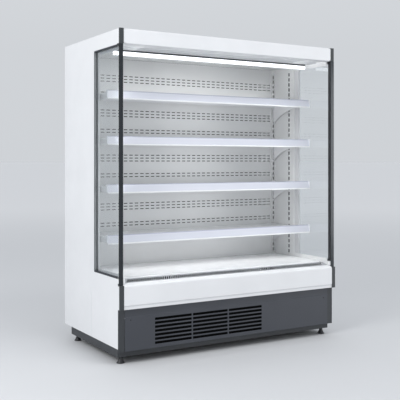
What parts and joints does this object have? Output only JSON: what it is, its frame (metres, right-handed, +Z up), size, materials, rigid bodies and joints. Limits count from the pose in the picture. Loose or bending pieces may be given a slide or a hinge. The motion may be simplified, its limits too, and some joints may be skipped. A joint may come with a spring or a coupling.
{
  "type": "open multideck display fridge",
  "caption": "Open-fronted refrigerated display case with glazed ends, hook-in shelves with price rails, a deck over a return-air grille, and a condensing unit in its base.",
  "frame": {"origin": "middle of the footprint at floor level", "axes": "+X to the right of a customer facing the open front, +Y to the rear, +Z up"},
  "size_m": [1.646, 0.9, 2],
  "materials": {
    "white_steel": "satin powder coat",
    "liner_white": "satin powder coat",
    "gloss_white": "gloss powder coat",
    "dark_upright": "dark anodised",
    "dark_plastic": "moulded, fine grain",
    "kick_grey": "fine textured powder coat",
    "base_grey": "fine textured powder coat",
    "frame_grey": "satin anodised",
    "outlet_grey": "moulded",
    "clear_glass": "clear toughened pane",
    "galvanised": "galvanised sheet",
    "fin_metal": "bare fins",
    "black_enamel": "gloss enamel",
    "black_plastic": "moulded",
    "light_diffuser": "opal",
    "price_rail": "extruded, glossy"
  },
  "bodies": {
    "cabinet": {"side_panel_left": "white_steel", "side_panel_right": "white_steel", "rear_wall": "white_steel", "roof_panel": "white_steel", "front_panel": "white_steel", "canopy_fascia": "white_steel", "insulated_tub": "liner_white", "ceiling_panel": "liner_white", "duct_panel_1": "liner_white", "duct_panel_2": "liner_white", "duct_panel_3": "liner_white", "duct_panel_4": "liner_white", "rear_upright_left": "liner_white", "rear_upright_right": "liner_white", "front_upright_left": "dark_upright", "front_upright_right": "dark_upright", "canopy_end_cap_left": "dark_plastic", "canopy_end_cap_right": "dark_plastic", "bumper_end_cap_left": "dark_plastic", "bumper_end_cap_right": "dark_plastic", "base_frame": "base_grey", "glass_frame_left": "frame_grey", "glass_frame_right": "frame_grey", "air_outlet_honeycomb": "outlet_grey", "side_glass_left": "clear_glass", "side_glass_right": "clear_glass", "light_profile": "galvanised", "fan_plate": "galvanised", "condenser_fan_shroud": "galvanised", "electrical_box": "galvanised", "evaporator_coil": "fin_metal", "condenser_coil": "fin_metal", "compressor": "black_enamel", "light_diffuser": "light_diffuser"},
    "shelf_1_assembly": {"shelf_1": "gloss_white", "price_rail_1": "price_rail", "shelf_bracket_1_left": "gloss_white", "shelf_bracket_1_right": "gloss_white"},
    "shelf_2_assembly": {"shelf_2": "gloss_white", "price_rail_2": "price_rail", "shelf_bracket_2_left": "gloss_white", "shelf_bracket_2_right": "gloss_white"},
    "shelf_3_assembly": {"shelf_3": "gloss_white", "price_rail_3": "price_rail", "shelf_bracket_3_left": "gloss_white", "shelf_bracket_3_right": "gloss_white"},
    "shelf_4_assembly": {"shelf_4": "gloss_white", "price_rail_4": "price_rail", "shelf_bracket_4_left": "gloss_white", "shelf_bracket_4_right": "gloss_white"},
    "deck": {"deck_tray": "gloss_white"},
    "grille": {"return_air_grille": "liner_white"},
    "kick": {"kick_panel": "kick_grey"},
    "condenser_wheel": {"condenser_fan": "black_plastic"},
    "evaporator_wheel_left": {"evaporator_fan_left": "black_plastic"},
    "evaporator_wheel_right": {"evaporator_fan_right": "black_plastic"},
    "foot_front_left_body": {"foot_front_left": "black_plastic"},
    "foot_front_right_body": {"foot_front_right": "black_plastic"},
    "foot_rear_left_body": {"foot_rear_left": "black_plastic"},
    "foot_rear_right_body": {"foot_rear_right": "black_plastic"}
  },
  "joints": [
    {"name": "shelf_1_tip", "type": "hinge", "parent": "cabinet", "child": "shelf_1_assembly", "pos_m": [0, 0.196, 1.62], "axis": [-1, 0, 0], "range_deg": [0, 10]},
    {"name": "shelf_2_tip", "type": "hinge", "parent": "cabinet", "child": "shelf_2_assembly", "pos_m": [0, 0.196, 1.335], "axis": [-1, 0, 0], "range_deg": [0, 10]},
    {"name": "shelf_3_tip", "type": "hinge", "parent": "cabinet", "child": "shelf_3_assembly", "pos_m": [0, 0.196, 1.035], "axis": [-1, 0, 0], "range_deg": [0, 10]},
    {"name": "shelf_4_tip", "type": "hinge", "parent": "cabinet", "child": "shelf_4_assembly", "pos_m": [0, 0.196, 0.72], "axis": [-1, 0, 0], "range_deg": [0, 10]},
    {"name": "deck_lift", "type": "slide", "parent": "cabinet", "child": "deck", "axis": [0, 0, 1], "range_m": [0, 0.08]},
    {"name": "grille_lift", "type": "slide", "parent": "cabinet", "child": "grille", "axis": [0, 0, 1], "range_m": [0, 0.1]},
    {"name": "kick_pull", "type": "slide", "parent": "cabinet", "child": "kick", "axis": [0, -1, 0], "range_m": [0, 0.1]},
    {"name": "condenser_fan_spin", "type": "hinge", "parent": "cabinet", "child": "condenser_wheel", "pos_m": [-0.18, -0.2927, 0.208], "axis": [0, 1, 0], "continuous": true},
    {"name": "evaporator_fan_left_spin", "type": "hinge", "parent": "cabinet", "child": "evaporator_wheel_left", "pos_m": [-0.38, -0.271, 0.4455], "axis": [0, 0.7071, -0.7071], "continuous": true},
    {"name": "evaporator_fan_right_spin", "type": "hinge", "parent": "cabinet", "child": "evaporator_wheel_right", "pos_m": [0.38, -0.271, 0.4455], "axis": [0, 0.7071, -0.7071], "continuous": true},
    {"name": "foot_front_left_screw", "type": "slide", "parent": "cabinet", "child": "foot_front_left_body", "axis": [0, 0, -1], "range_m": [0, 0.02]},
    {"name": "foot_front_right_screw", "type": "slide", "parent": "cabinet", "child": "foot_front_right_body", "axis": [0, 0, -1], "range_m": [0, 0.02]},
    {"name": "foot_rear_left_screw", "type": "slide", "parent": "cabinet", "child": "foot_rear_left_body", "axis": [0, 0, -1], "range_m": [0, 0.02]},
    {"name": "foot_rear_right_screw", "type": "slide", "parent": "cabinet", "child": "foot_rear_right_body", "axis": [0, 0, -1], "range_m": [0, 0.02]}
  ]
}
